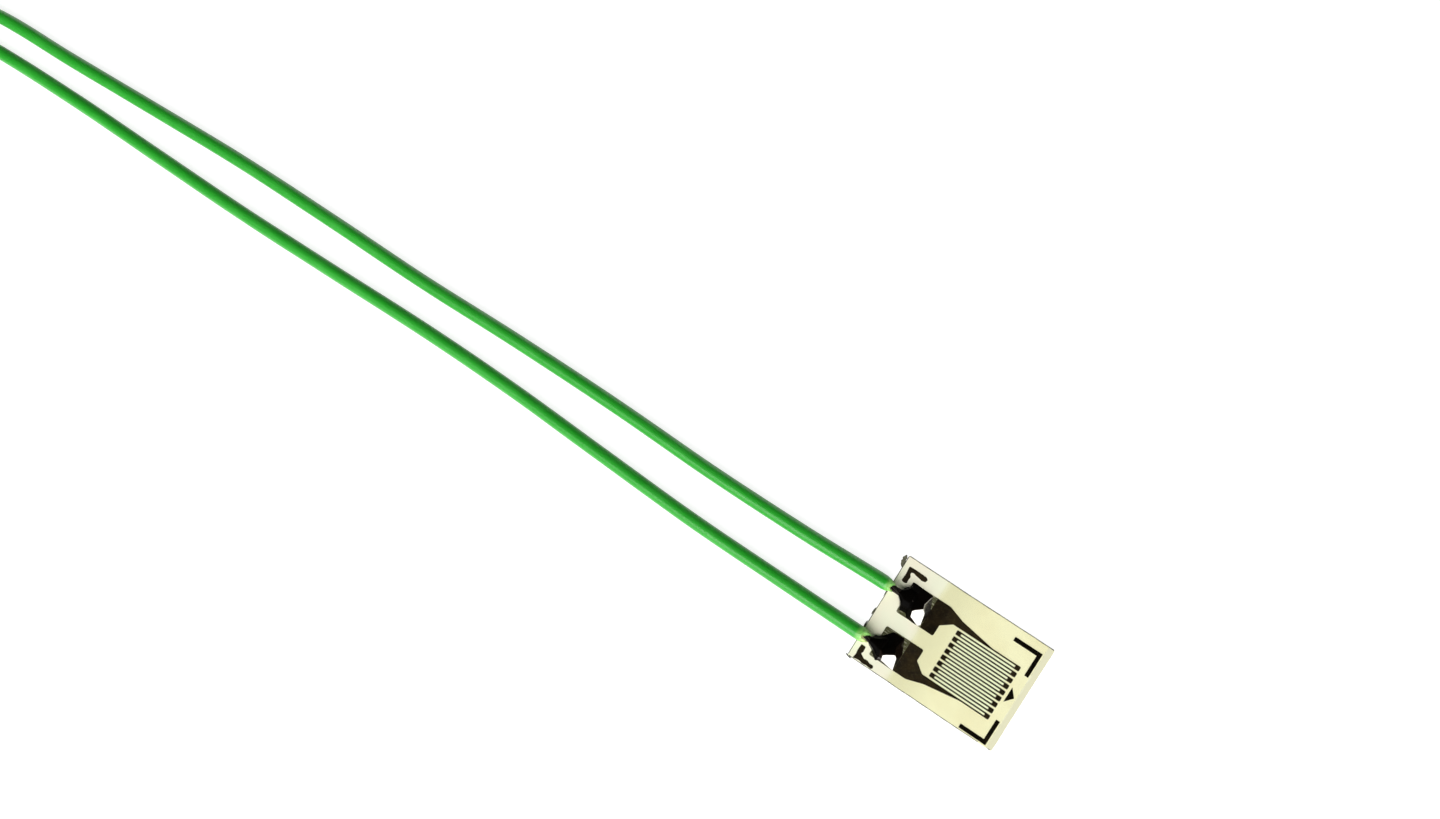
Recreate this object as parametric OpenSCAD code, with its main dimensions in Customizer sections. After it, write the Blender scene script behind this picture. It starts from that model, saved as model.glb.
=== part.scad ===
// Foil strain gauge with two insulated leads, lying on a flat surface.
// Millimetres. The origin is the middle of the carrier film's underside, which is the face
// that gets bonded down. +X runs along the grid lines, away from the leads. +Z is up.

/* [Carrier film] */
// Length of the carrier film, along the grid lines
carrier_len = 7.4; // [7.2:0.1:9]
// Width of the carrier film
carrier_w = 5; // [4.9:0.1:7]
// Thickness of the carrier film
carrier_t = 0.05; // [0.03:0.01:0.06]
// Radius of the carrier film's corners
carrier_r = 0.1; // [0.05:0.05:0.25]

/* [Cover film] */
// Thickness of the cover film above the carrier
cover_t = 0.03; // [0.02:0.01:0.06]
// Bare strip of carrier beyond the cover film's far end
cover_end_margin = 0.27; // [0.1:0.01:0.3]
// Length of each solder tab that the cover film hides
cover_on_tab = 0.66; // [0.4:0.02:0.8]

/* [Foil grid] */
// Thickness of the metal foil
foil_t = 0.01; // [0.005:0.001:0.015]
// Number of end loops at the far end, each joining two grid lines
loop_count = 9; // [5:1:9]
// Width of one grid line
line_w = 0.06; // [0.04:0.01:0.08]
// Distance from one grid line to the next
line_pitch = 0.15; // [0.12:0.01:0.15]
// Length of an end loop beside the tabs
near_loop_len = 0.23; // [0.1:0.01:0.3]
// Length of an end loop at the far end
far_loop_len = 0.24; // [0.1:0.01:0.25]
// Radius of an end loop's corners
loop_r = 0.04; // [0.01:0.01:0.05]
// Bare carrier between its far end and the far end loops
far_loop_margin = 0.81; // [0.8:0.01:1]
// Centre line of the foil pattern, measured from the carrier's middle
pattern_y = -0.17; // [-0.2:0.01:0]

/* [Solder tabs] */
// Bare carrier between its lead end and the solder tabs
tab_margin = 0.79; // [0.7:0.01:0.9]
// Length of a solder tab
tab_len = 1.91; // [1.8:0.01:2]
// Width of a solder tab
tab_w = 1.45; // [1.4:0.01:1.5]
// Gap between the two solder tabs
tab_gap = 0.72; // [0.6:0.01:0.8]
// Radius of a solder tab's corners
tab_r = 0.08; // [0.02:0.01:0.15]
// Gap between the solder tabs and the near end loops
tab_to_loop = 0.77; // [0.6:0.01:0.8]
// Width of the neck where a tab starts to narrow
neck_w = 0.92; // [0.7:0.01:1.1]
// Length of the neck's inner slope
neck_slope_len = 0.49; // [0.3:0.01:0.6]
// Width that the neck has beyond the outer grid line, beside the near end loops
neck_shoulder = 0.26; // [0.1:0.01:0.4]
// Length of the neck's long slope, from the near end loops on
neck_taper_len = 1.68; // [1:0.01:2]

/* [Alignment marks] */
// Width of a corner mark's arms
mark_w = 0.19; // [0.1:0.01:0.25]
// Distance across the corner marks, over their outer edges
mark_span = 4.52; // [4.4:0.01:4.56]
// Bare carrier between its lead end and the corner marks there
near_mark_margin = 0.29; // [0.2:0.01:0.3]
// Length of the long arm of a corner mark at the lead end
near_mark_len = 0.93; // [0.6:0.01:1.1]
// Length of the short arm of a corner mark at the lead end
near_mark_drop = 0.66; // [0.4:0.01:0.66]
// Bare carrier between its far end and the corner marks there
far_mark_margin = 0.33; // [0.31:0.01:0.4]
// Length of the long arm of a corner mark at the far end
far_mark_len = 1.37; // [1:0.01:1.5]
// Length of the short arm of a corner mark at the far end
far_mark_drop = 1.16; // [0.8:0.01:1.3]
// Height of the pointed centre mark's triangle
end_mark_len = 0.31; // [0.2:0.01:0.31]
// Base of the pointed centre mark's triangle
end_mark_w = 0.71; // [0.4:0.01:0.9]
// Gap between the far end loops and the pointed centre mark
end_mark_gap = 0.14; // [0.1:0.01:0.15]
// Sideways offset of the pointed centre mark from the pattern's centre line
end_mark_shift = 0.05; // [-0.05:0.01:0.1]

/* [Solder joints] */
// Height of a solder joint above the foil
solder_h = 0.46; // [0.44:0.01:0.6]
// Bare foil between a solder joint and the edge of its tab, and the cover film
solder_edge = 0.02; // [0.01:0.01:0.04]

/* [Leads] */
// Diameter of the insulated lead
lead_d = 0.65; // [0.55:0.01:0.65]
// Diameter of the bare conductor
core_d = 0.3; // [0.2:0.01:0.32]
// Lead 1: distance from the carrier's lead end to the end of its insulation
strip_1 = 0.25; // [0.2:0.01:0.4]
// Lead 2: distance from the carrier's lead end to the end of its insulation
strip_2 = 0.5; // [0.3:0.01:0.7]
// Distance beyond the carrier's lead end at which a lead starts to come down to the surface
lead_level_len = 0.5; // [0.3:0.1:1]
// Height of the conductor's centre above the foil at its tip, in the solder
core_seat = 0.16; // [0.16:0.01:0.2]
// Length of tab that the conductor reaches over
core_reach = 0.7; // [0.5:0.05:0.9]
// Length of the bare tinned end of a lead
tinned_len = 4; // [2:0.5:8]

/* [Hank] */
// Length of the hank's straight runs
run_len = 10; // [9:0.1:13]
// Radius of the hank's end folds at the middle of the pair of leads
fold_r = 2.3; // [2.2:0.05:2.6]
// Distance between neighbouring leads in the hank, centre to centre
turn_pitch = 0.68; // [0.66:0.01:0.7]
// Leads side by side in the hank
hank_columns = 2; // [2:1:3]
// Leads one above another in the hank
hank_rows = 3; // [3:1:4]
// Thickness of the tie round the hank
tie_t = 0.08; // [0.05:0.01:0.12]
// Width of the tie
tie_w = 2.4; // [1:0.1:6]
// Distance from the centre of the hank's far fold to the tie
tie_margin = 1.6; // [0.5:0.1:2]

/* [Hidden] */

// Facets of a small circle and of a fold, and a length by which cutters run past what they cut
$fn = 48;
fold_fn = 96;
past = 1;

// Heights of the foil's two faces
foil_z = carrier_t;
foil_top = foil_z + foil_t;

// Places of the solder tabs and the grid along X, from the carrier's two ends inwards
tab_x0 = -carrier_len / 2 + tab_margin;
tab_x1 = tab_x0 + tab_len;
near_loop_x = tab_x1 + tab_to_loop;
far_loop_x = carrier_len / 2 - far_loop_margin;
far_line_x = far_loop_x - far_loop_len;

// Number of grid lines, and half the grid's width over the outer ones
line_count = 2 * loop_count;
half_lines = (line_count - 1) * line_pitch / 2;
outer_edge = half_lines + line_w / 2;
inner_edge = half_lines - line_w / 2;

// Inner and outer edge of a solder tab, measured from the pattern's centre line
tab_in = tab_gap / 2;
tab_out = tab_in + tab_w;

// Cover film, from part way along the tabs to just short of the carrier's far end
cover_x0 = tab_x1 - cover_on_tab;
cover_x1 = carrier_len / 2 - cover_end_margin;

// The stretch of a tab that a solder joint may wet
wet_x0 = tab_x0 + solder_edge;
wet_x1 = cover_x0 - solder_edge;
wet_w = tab_w - 2 * solder_edge;
// Thickness of the flat foot and of the flat crest of a solder joint
solder_skin = 0.02;

// Outline of solder joint 1: foot and crest, from the corner of its wetted stretch
foot_1 = [[0, 0.55], [0.3, 0.2], [0.47, 0], [wet_x1 - wet_x0, 0], [wet_x1 - wet_x0, wet_w], [0, wet_w]];
crest_1 = [[0.12, 0.68], [0.5, 0.45], [0.99, 0.82], [1.02, 1.25], [0.12, 1.23]];
// Outline of solder joint 2
foot_2 = [[0, 0.25], [0.28, 0], [wet_x1 - wet_x0, 0], [wet_x1 - wet_x0, wet_w], [0.3, wet_w], [0, 0.75]];
crest_2 = [[0.05, 0.36], [0.42, 0.38], [1.02, 0.76], [0.95, 1.23], [0.44, 1.23], [0.05, 0.7]];

// Height of the lead's centre where it lies on the surface, on the carrier, and in its tail
lying_z = 0.33;
raised_z = 0.38;
tail_z = 0.335;

// Hank: cross-section of the bundle, and the heights of its lowest and highest row
bundle_w = (hank_columns - 1) * turn_pitch + lead_d;
bundle_h = (hank_rows - 1) * turn_pitch + lead_d;
row_low = tie_t + lead_d / 2;
row_high = row_low + (hank_rows - 1) * turn_pitch;
// Middle line of the run by which the pair comes in, and the centres of the near and far fold
run_y = -1.39;
hank_y = run_y + fold_r;
near_x = -62;
far_x = near_x - run_len;
// Ends of the tie, the place behind it where the pair climbs to the top row, and the height below that row
tie_x_1 = far_x + tie_margin;
tie_x_2 = tie_x_1 + tie_w;
climb_x = tie_x_2 + 1;
bundle_low_h = bundle_h - turn_pitch;

// Place along X from which the leads come down to the surface
level_x = -carrier_len / 2 - lead_level_len;

// Routes of the leads' middle lines, from the solder joints to the hank
route_1 = [
    [-carrier_len / 2 + strip_1, 0.99, raised_z], [level_x, 0.99, raised_z], [-8, 0.87, lying_z],
    [-13, 0.84, lying_z], [-18.5, 0.95, lying_z], [-24, 0.94, lying_z], [-29.5, 0.84, lying_z],
    [-35, 0.87, lying_z], [-40.5, 0.84, lying_z], [-46, 0.64, lying_z], [-51, 0.43, lying_z],
    [-55.5, 0.28, lying_z], [-57.6, -0.16, 0.36], [-59.8, -0.77, row_low],
    [near_x + 0.8, run_y + turn_pitch / 2, row_low]
];
route_2 = [
    [-carrier_len / 2 + strip_2, -1.39, raised_z], [level_x, -1.39, raised_z], [-8, -1.39, lying_z],
    [-12.5, -1.37, lying_z], [-18, -1.18, lying_z], [-23, -0.99, lying_z], [-28, -0.95, lying_z],
    [-33.5, -1.05, lying_z], [-39, -1.13, lying_z], [-44.5, -1.1, lying_z], [-49.5, -1.06, lying_z],
    [-54.5, -1.16, lying_z], [-57.4, -1.4, 0.36], [-59.8, -1.64, row_low],
    [near_x + 0.8, run_y - turn_pitch / 2, row_low]
];
// Routes of the two tails, from the top of the hank to the bare ends
tail_y_1 = run_y + turn_pitch / 2;
tail_y_2 = run_y - turn_pitch / 2;
tail_route_1 = [
    [far_x, tail_y_1, row_high], [far_x - 1.4, tail_y_1, row_high], [far_x - 2.7, tail_y_1, row_high],
    [far_x - 3.8, tail_y_1, 1.5], [far_x - 4.9, -0.92, 0.92], [far_x - 6, -0.63, 0.43],
    [far_x - 7.3, -0.35, tail_z], [far_x - 8.3, -0.35, tail_z]
];
tail_route_2 = [
    [far_x, tail_y_2, row_high], [far_x - 1.4, tail_y_2, row_high], [far_x - 2.7, tail_y_2, row_high],
    [far_x - 3.8, tail_y_2, 1.5], [far_x - 4.9, -1.74, 0.9], [far_x - 5.8, -1.8, 0.45],
    [far_x - 6.5, -1.84, tail_z], [far_x - 7.2, -1.84, tail_z]
];
// Sides of a lead's tube, and the greatest distance between its rings
tube_sides = 8;
ring_step = 1.95;

// Direction of a route at point i, from its neighbours
function heading(route, i) =
    let (a = route[max(i - 1, 0)], b = route[i], c = route[min(i + 1, len(route) - 1)])
    (c - a) / (norm(b - a) + norm(c - b));
// Point at share t of the smooth stretch from route point i to the next
function between(route, i, t) =
    let (p = route[i], q = route[i + 1], d = norm(q - p))
    let (u = d * heading(route, i), v = d * heading(route, i + 1))
    (2 * t * t * t - 3 * t * t + 1) * p + (t * t * t - 2 * t * t + t) * u
    + (3 * t * t - 2 * t * t * t) * q + (t * t * t - t * t) * v;
// Middle line of a lead, as points no more than ring_step apart
function middle_line(route) = [
    for (i = [0 : len(route) - 2])
        let (n = ceil(norm(route[i + 1] - route[i]) / ring_step))
        for (k = [0 : n - 1]) between(route, i, k / n),
    route[len(route) - 1]
];
// Ring of points round point i of a middle line, square to its direction
function ring(line, i) =
    let (d = heading(line, i), t = d / norm(d), s = cross(t, [0, 0, 1]))
    let (side = s / norm(s), up = cross(side, t))
    [for (k = [0 : tube_sides - 1]) line[i] + lead_d / 2 * (cos(k * 360 / tube_sides) * side
                                                            + sin(k * 360 / tube_sides) * up)];

// Flat shape: rectangle from corner [x, y] with rounded corners
module rounded_rect(x, y, w, h, r) {
    translate([x + r, y]) square([w - 2 * r, h]);
    translate([x, y + r]) square([w, h - 2 * r]);
    for (cx = [x + r, x + w - r], cy = [y + r, y + h - r]) translate([cx, cy]) circle(r);
}

// Solid round rod from p to q
module rod(p, q, d) {
    v = q - p;
    translate(p) rotate([0, acos(v[2] / norm(v)), atan2(v[1], v[0])]) cylinder(h = norm(v), d = d);
}

// Insulated lead along a route, as one swept tube
module swept_lead(route) {
    line = middle_line(route);
    rings = len(line);
    n = tube_sides;
    polyhedron(
        points = [for (i = [0 : rings - 1]) each ring(line, i)],
        faces = concat(
            [[for (k = [0 : n - 1]) k]],
            [for (i = [0 : rings - 2], k = [0 : n - 1])
                [i * n + k, (i + 1) * n + k, (i + 1) * n + (k + 1) % n, i * n + (k + 1) % n]],
            [[for (k = [n - 1 : -1 : 0]) (rings - 1) * n + k]]
        )
    );
}

// Flat shape of one solder tab and its neck, on the +Y side of the pattern's centre line
module tab_shape() {
    rounded_rect(tab_x0, tab_in, tab_len, tab_w, tab_r);
    neck_x0 = tab_x1 - tab_r;
    polygon([
        [neck_x0, tab_out - neck_w], [tab_x1, tab_out - neck_w], [tab_x1 + neck_slope_len, inner_edge],
        [near_loop_x + neck_taper_len, inner_edge], [near_loop_x + neck_taper_len, outer_edge],
        [near_loop_x, outer_edge + neck_shoulder], [tab_x1, tab_out], [neck_x0, tab_out]
    ]);
}

// Flat shape of the thin lines and the end loops
module grid_shape() {
    for (i = [0 : line_count - 1]) {
        y = i * line_pitch - half_lines;
        outer = i == 0 || i == line_count - 1;
        start = outer ? near_loop_x : near_loop_x + near_loop_len / 2;
        translate([start, y - line_w / 2]) square([far_line_x + far_loop_len / 2 - start, line_w]);
    }
    loop_h = line_pitch + line_w;
    for (i = [0 : loop_count - 1])
        rounded_rect(far_line_x, 2 * i * line_pitch - outer_edge, far_loop_len, loop_h, loop_r);
    for (i = [0 : loop_count - 2])
        rounded_rect(near_loop_x, (2 * i + 1) * line_pitch - outer_edge, near_loop_len, loop_h, loop_r);
}

// Flat shape of a corner mark: corner at [x, y], arms towards +X or -X and towards the centre line
module mark_shape(x, y, len_x, len_y) {
    x_side = sign(len_x);
    y_side = sign(len_y);
    polygon([
        [x, y], [x + len_x, y], [x + len_x, y + y_side * mark_w], [x + x_side * mark_w, y + y_side * mark_w],
        [x + x_side * mark_w, y + len_y], [x, y + len_y]
    ]);
}

// The four corner marks: 1 and 2 at the lead end, 3 and 4 at the far end, odd ones on the +Y side
module corner_mark(i) {
    near = i <= 2;
    y_side = i % 2 == 1 ? 1 : -1;
    x = near ? -carrier_len / 2 + near_mark_margin : carrier_len / 2 - far_mark_margin;
    len_x = near ? near_mark_len : -far_mark_len;
    len_y = near ? near_mark_drop : far_mark_drop;
    color("#1E170C") translate([0, pattern_y, foil_z]) linear_extrude(foil_t)
        mark_shape(x, y_side * mark_span / 2, len_x, -y_side * len_y);
}

// Pointed mark on the grid's centre line, beyond the far end loops
module end_mark() {
    x = far_loop_x + end_mark_gap;
    color("#1E170C") translate([0, pattern_y + end_mark_shift, foil_z]) linear_extrude(foil_t)
        polygon([[x, -end_mark_w / 2], [x + end_mark_len, 0], [x, end_mark_w / 2]]);
}

// The measuring grid: tabs, necks, thin lines and end loops, etched from one piece of foil
module measuring_grid() {
    color("#2A2112") translate([0, pattern_y, foil_z]) linear_extrude(foil_t) {
        tab_shape();
        mirror([0, 1]) tab_shape();
        grid_shape();
    }
}

// Carrier film, the base that gets bonded to the surface that is measured
module carrier_film() {
    color("#E9E8CF") linear_extrude(carrier_t)
        rounded_rect(-carrier_len / 2, -carrier_w / 2, carrier_len, carrier_w, carrier_r);
}

// Cover film over the grid, with the foil pressed into its underside
module cover_film() {
    color("#F1EEBE") difference() {
        translate([cover_x0, -carrier_w / 2, foil_z]) cube([cover_x1 - cover_x0, carrier_w, cover_t]);
        measuring_grid();
        for (i = [3, 4]) corner_mark(i);
        end_mark();
    }
}

// Bare conductor of lead 1 or 2, from the end of the insulation down into the solder
module lead_core(i) {
    start = i == 1 ? route_1[0] : route_2[0];
    tip = [tab_x0 + core_reach, start[1], foil_top + core_seat];
    color("#6F6A60") difference() {
        rod(start - (tip - start) / norm(tip - start) * core_d, tip, core_d);
        translate(start - [past, past / 2, past / 2]) cube([past, past, past]);
    }
}

// Solder joint 1 or 2: a low mound with a sloping flat side, round the bare conductor
module solder_joint(i) {
    foot = i == 1 ? foot_1 : foot_2;
    crest = i == 1 ? crest_1 : crest_2;
    corner_y = pattern_y + (i == 1 ? tab_in : -tab_out) + solder_edge;
    color("#B9B9B4") difference() {
        translate([wet_x0, corner_y, foil_top]) hull() {
            linear_extrude(solder_skin) polygon(foot);
            translate([0, 0, solder_h - solder_skin]) linear_extrude(solder_skin) polygon(crest);
        }
        lead_core(i);
    }
}

// Flat outline of the hank's middle line, made larger or smaller all round by a length
module hank_outline(grow) {
    hull() for (x = [far_x, near_x]) translate([x, hank_y]) circle(fold_r + grow, $fn = fold_fn);
}

// Outer shape of the hank: the two leads wound together as a flat pair, turn upon turn. The pair comes
// up to the top row behind the tie and leaves along it as the tails, so the far fold and the run up to
// the climb are one row lower.
module lead_hank() {
    reach = fold_r + bundle_w;
    color("#3FA63F") translate([0, 0, tie_t]) difference() {
        linear_extrude(bundle_h) difference() {
            hank_outline(bundle_w / 2);
            hank_outline(-bundle_w / 2);
        }
        translate([far_x - reach, hank_y - reach, bundle_low_h])
            cube([reach, 2 * reach, turn_pitch + past]);
        translate([far_x - past, hank_y, bundle_low_h])
            cube([climb_x - far_x + past, reach, turn_pitch + past]);
    }
}

// Flat section across one run of the hank, made larger all round by a length
module run_section(y, h, grow) {
    translate([y - bundle_w / 2 - grow, -grow]) square([bundle_w + 2 * grow, h + 2 * grow]);
}

// Flat section across both runs, as a taut tape goes round them, made larger all round by a length
module hank_section(grow) {
    hull() {
        run_section(-fold_r, bundle_h, grow);
        run_section(fold_r, bundle_low_h, grow);
    }
}

// Insulated stretch of lead 1 or 2, from its solder joint to the hank
module lead_insulation(i) {
    color("#3FA63F") difference() {
        swept_lead(i == 1 ? route_1 : route_2);
        lead_hank();
    }
}

// Insulated tail of lead 1 or 2, from the hank to the bare end
module lead_tail(i) {
    color("#3FA63F") swept_lead(i == 1 ? tail_route_1 : tail_route_2);
}

// Bare tinned end of lead 1 or 2
module lead_tinned_end(i) {
    route = i == 1 ? tail_route_1 : tail_route_2;
    end = route[len(route) - 1];
    color("#B9B9B4") rod(end, end - [tinned_len, 0, 0], core_d);
}

// Tie: one band of thin tape round both runs of the hank
module hank_tie() {
    color("#E8E6DC") translate([tie_x_1, hank_y, tie_t]) rotate([90, 0, 90]) linear_extrude(tie_w)
        difference() {
            hank_section(tie_t);
            hank_section(0);
        }
}

carrier_film();
cover_film();
measuring_grid();
corner_mark(1);  // corner_mark_1
corner_mark(2);  // corner_mark_2
corner_mark(3);  // corner_mark_3
corner_mark(4);  // corner_mark_4
end_mark();
solder_joint(1);  // solder_joint_1
solder_joint(2);  // solder_joint_2
lead_core(1);  // lead_1_core
lead_core(2);  // lead_2_core
lead_insulation(1);  // lead_1_insulation
lead_insulation(2);  // lead_2_insulation
lead_hank();
hank_tie();
lead_tail(1);  // lead_1_tail
lead_tail(2);  // lead_2_tail
lead_tinned_end(1);  // lead_1_tinned_end
lead_tinned_end(2);  // lead_2_tinned_end
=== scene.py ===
# %% [markdown]
# # A foil strain gauge, dressed for the camera
#
# The gauge is a small cream film with an etched metal grid between its layers, two solder joints
# and two green leads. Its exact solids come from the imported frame. This lesson keeps those whose
# shape is right, gives them finishes, and models the pieces that need a hand: the leads, the
# solder, the stranded conductors, the cut film and the tape round the hank.

import math
from itertools import accumulate

import bpy
import numpy as np
from mathutils import Matrix, Vector, noise


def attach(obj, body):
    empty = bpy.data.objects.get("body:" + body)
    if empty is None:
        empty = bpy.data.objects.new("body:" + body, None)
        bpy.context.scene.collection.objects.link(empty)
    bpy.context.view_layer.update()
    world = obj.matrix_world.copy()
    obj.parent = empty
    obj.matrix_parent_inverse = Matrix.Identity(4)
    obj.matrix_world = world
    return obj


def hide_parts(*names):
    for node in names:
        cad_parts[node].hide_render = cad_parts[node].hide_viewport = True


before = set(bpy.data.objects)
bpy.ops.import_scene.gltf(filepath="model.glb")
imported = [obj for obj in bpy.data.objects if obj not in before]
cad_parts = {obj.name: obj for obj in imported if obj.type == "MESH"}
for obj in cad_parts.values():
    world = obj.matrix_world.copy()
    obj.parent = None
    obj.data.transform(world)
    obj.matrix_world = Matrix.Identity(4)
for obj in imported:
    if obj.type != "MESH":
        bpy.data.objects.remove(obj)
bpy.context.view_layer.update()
MM = 0.001
print("nodes in the frame:", len(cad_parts))

# %% [markdown]
# ## The camera
#
# The photograph was taken from almost straight above, with a short telephoto lens. The place and
# the three turns below put the film's four corners where the picture has them. Everything is in
# millimetres here, and becomes metres where Blender gets it.

# %% Camera at the photograph's angle
CAMERA_PLACE = Vector((22.62, 11.41, 116.4))
CAMERA_TURNS = {"Z": 31.54, "X": 6.10, "Y": 16.98}
LENS_MM = 70
SENSOR_MM = 36

turned = Matrix.Identity(4)
for axis, degrees in CAMERA_TURNS.items():
    turned = turned @ Matrix.Rotation(math.radians(degrees), 4, axis)
camera_data = bpy.data.cameras.new("camera")
camera_data.lens = LENS_MM
camera_data.sensor_width = SENSOR_MM
camera_data.clip_start = 0.01
camera = bpy.data.objects.new("camera", camera_data)
camera.matrix_world = Matrix.Translation(CAMERA_PLACE * MM) @ turned
bpy.context.scene.collection.objects.link(camera)
bpy.context.scene.camera = camera
bpy.context.scene.view_settings.view_transform = "Standard"
print("camera looks along", [round(v, 3) for v in turned.to_3x3() @ Vector((0, 0, -1))])

# %% [markdown]
# ## Small helpers for modelling
#
# The pieces are a few millimetres across, and many of Blender's tools have settings that are too
# coarse for that. So each piece is modelled a thousand times too large, with one unit for one
# millimetre, and shrunk at the end. The shrunk object is applied, so that it sits unscaled at
# the origin with its place in its mesh. Colours are written as sRGB hex values and turned to the
# linear values that shaders use.

# %% Selecting and editing


def deselect_all():
    """Leave edit mode and select nothing, so that the next operator acts on what it should."""
    if bpy.context.object and bpy.context.object.mode != "OBJECT":
        bpy.ops.object.mode_set(mode="OBJECT")
    bpy.ops.object.select_all(action="DESELECT")


def take(piece):
    """Make this piece the only selected and the active object."""
    deselect_all()
    piece.select_set(True)
    bpy.context.view_layer.objects.active = piece
    return piece


def new_piece(name, points, edges=(), faces=()):
    """A mesh object from its points, edges and faces."""
    mesh = bpy.data.meshes.new(name)
    mesh.from_pydata(points, edges, faces)
    piece = bpy.data.objects.new(name, mesh)
    bpy.context.scene.collection.objects.link(piece)
    return take(piece)


def edit_all(piece):
    """Enter edit mode with all of the piece selected."""
    take(piece)
    bpy.ops.object.mode_set(mode="EDIT")
    bpy.ops.mesh.select_all(action="SELECT")


def leave_outwards():
    """Turn all faces outwards and leave edit mode."""
    bpy.ops.mesh.select_all(action="SELECT")
    bpy.ops.mesh.normals_make_consistent(inside=False)
    bpy.ops.object.mode_set(mode="OBJECT")


def shade_smooth(degrees):
    """Shade the active piece smooth, but not over edges sharper than this angle."""
    bpy.ops.object.shade_smooth_by_angle(angle=math.radians(degrees))


def apply_modifier(piece, kind, **settings):
    """Add one modifier with its settings and apply it to the mesh."""
    take(piece)
    modifier = piece.modifiers.new(kind.lower(), kind)
    for name, value in settings.items():
        setattr(modifier, name, value)
    bpy.ops.object.modifier_apply(modifier=modifier.name)


# %% Finishing a piece, and its colours


def finish_piece(piece, name, materials, replaced=()):
    take(piece)
    piece.data.transform(piece.matrix_world)
    piece.matrix_world = Matrix.Identity(4)
    piece.data.transform(Matrix.Scale(MM, 4))
    piece.name = piece.data.name = name
    for material in materials:
        piece.data.materials.append(material)
    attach(piece, "root")
    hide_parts(*replaced)
    print(f"{name}: {len(piece.data.vertices)} vertices, {len(piece.data.polygons)} faces")
    return piece


def linear(hex_colour):
    """sRGB hex to the linear RGBA that shader sockets take."""
    channels = [int(hex_colour[i : i + 2], 16) / 255 for i in (1, 3, 5)]
    curved = [c / 12.92 if c <= 0.04045 else ((c + 0.055) / 1.055) ** 2.4 for c in channels]
    return (*curved, 1.0)


# %% [markdown]
# ## Helpers for shader nodes
#
# Every finish is a small node tree. One function adds a node, sets its own settings and fills its
# sockets, either with a value or with a link from another node's output. The others call it for
# the kinds of node that most finishes need, and give back what the node puts out.

# %% Nodes for materials and colours
WHITE = (1, 1, 1, 1)


def add_node(tree, kind, sockets=None, **settings):
    """Add a node to a tree. A socket is given a value, or another node's output to link."""
    node = tree.nodes.new("ShaderNode" + kind)
    for name, value in settings.items():
        setattr(node, name, value)
    for name, value in (sockets or {}).items():
        if isinstance(value, bpy.types.NodeSocket):
            tree.links.new(value, node.inputs[name])
        else:
            node.inputs[name].default_value = value
    return node


def new_material(name):
    """A material and its node tree, which is empty."""
    material = bpy.data.materials.new(name)
    material.use_nodes = True
    material.node_tree.nodes.clear()
    return material, material.node_tree


def blend_colours(tree, share, first, second):
    """Mix two colours by a share from 0 to 1, each a hex value or a node's output."""
    first, second = (linear(c) if isinstance(c, str) else c for c in (first, second))
    return add_node(tree, "Mix", {0: share, 6: first, 7: second}, data_type="RGBA",
                    clamp_factor=True).outputs[2]


def principled(tree, sockets):
    """The shader that most finishes use."""
    return add_node(tree, "BsdfPrincipled", sockets).outputs[0]


def surface(tree, shader, kind="Material"):
    """Show a shader, or a Principled one with these sockets, as a surface or as the world."""
    shader = principled(tree, shader) if isinstance(shader, dict) else shader
    add_node(tree, "Output" + kind, {"Surface": shader})


# %% [markdown]
# Real surfaces are nowhere quite even. Noise gives a share from 0 to 1 at each point, a ramp picks
# the part of it that matters, and the result steers colour, roughness and small bumps together.

# %% Nodes for patterns


def coordinates(tree, kind="Object"):
    """Where a point lies on the object, in metres, or another kind of texture coordinates."""
    return add_node(tree, "TexCoord").outputs[kind]


def split(tree, vector):
    """The outputs X, Y and Z of a vector."""
    return add_node(tree, "SeparateXYZ", {0: vector}).outputs


def stretched(tree, vector, scale, turn=0):
    """Coordinates turned about Z and scaled, for patterns that are longer one way."""
    return add_node(tree, "Mapping", {"Vector": vector, "Rotation": (0, 0, turn), "Scale": scale},
                    vector_type="POINT").outputs[0]


def noise_share(tree, spot_mm, detail, roughness=0.5, vector=None):
    """Noise with spots of this size on the object. Without a size, a spot is one unit wide."""
    return add_node(tree, "TexNoise",
                    {"Vector": vector or coordinates(tree), "Detail": detail,
                     "Scale": 1 / (spot_mm * MM) if spot_mm else 1,
                     "Roughness": roughness}).outputs["Fac"]


def ramp(tree, value, start, end, at_start=0, at_end=1, smooth=True):
    """Turn one range of values into another, levelling out at both ends."""
    return add_node(tree, "MapRange",
                    {"Value": value, "From Min": start, "From Max": end, "To Min": at_start,
                     "To Max": at_end},
                    interpolation_type="SMOOTHSTEP" if smooth else "LINEAR").outputs[0]


def rough(tree, share, low, high):
    """Roughness between two values, by a share from 0 to 1."""
    return ramp(tree, share, 0, 1, low, high, smooth=False)


def maths(tree, operation, *values):
    return add_node(tree, "Math", dict(enumerate(values)), operation=operation).outputs[0]


def bumps(tree, height, strength, depth_mm):
    """Surface directions as small bumps would turn them."""
    return add_node(tree, "Bump", {"Height": height, "Strength": strength,
                                   "Distance": depth_mm * MM}).outputs[0]


# %% [markdown]
# ## Finish: extruded green insulation
#
# The leads are thin hook-up wire with soft, slightly translucent plastic drawn over the strands.
# Drawn plastic shows faint streaks along its length, a satin shine, and small changes of depth of
# colour. Where the soldering iron came close it has gone pale and yellow. The yellow at the very
# tip is kept to the lamp's side, so it is partly a heat mark and partly a painted highlight. The
# pattern runs on the lead's own UV map, whose U goes once round the lead and whose V is the
# distance from the end at the gauge in millimetres, so the streaks follow every bend and the heat
# mark stays at the end.

# %% Insulation material
INSULATION_GREEN = "#2AAA2B"
INSULATION_DEEP = "#209A24"
INSULATION_LIGHT = "#3FB23F"
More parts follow.
